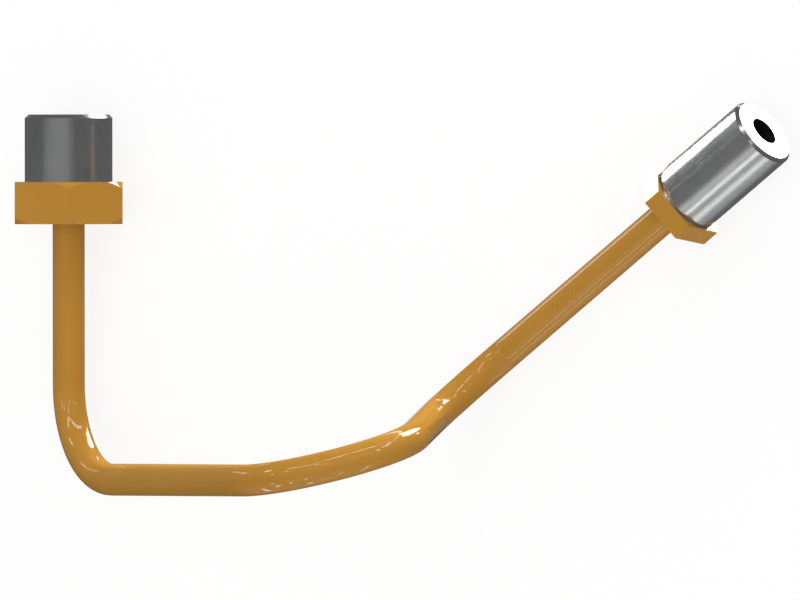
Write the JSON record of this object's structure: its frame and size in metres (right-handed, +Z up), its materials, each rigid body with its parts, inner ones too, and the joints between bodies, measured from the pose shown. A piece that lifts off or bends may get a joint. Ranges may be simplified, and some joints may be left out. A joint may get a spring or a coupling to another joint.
{
  "type": "fuel injection line",
  "caption": "Rigid bent steel fuel line, painted, with a plain-shanked hexagon fitting brazed on each end.",
  "frame": {"origin": "under the middle of the bounding box, on the surface that the line lies on", "axes": "+Z up; +X along the longest extent, from the large fitting's end to the small fitting's end; +Y is the side that both fittings point to"},
  "size_m": [0.254, 0.118, 0.0931],
  "materials": {
    "painted_tube": "glossy golden yellow enamel",
    "plated_fitting": "bright turned and plated steel, with the hexagon under the same enamel as the tube"
  },
  "bodies": {
    "root": {"fuel_tube": "painted_tube", "large_end_fitting": "plated_fitting", "small_end_fitting": "plated_fitting"}
  },
  "joints": []
}
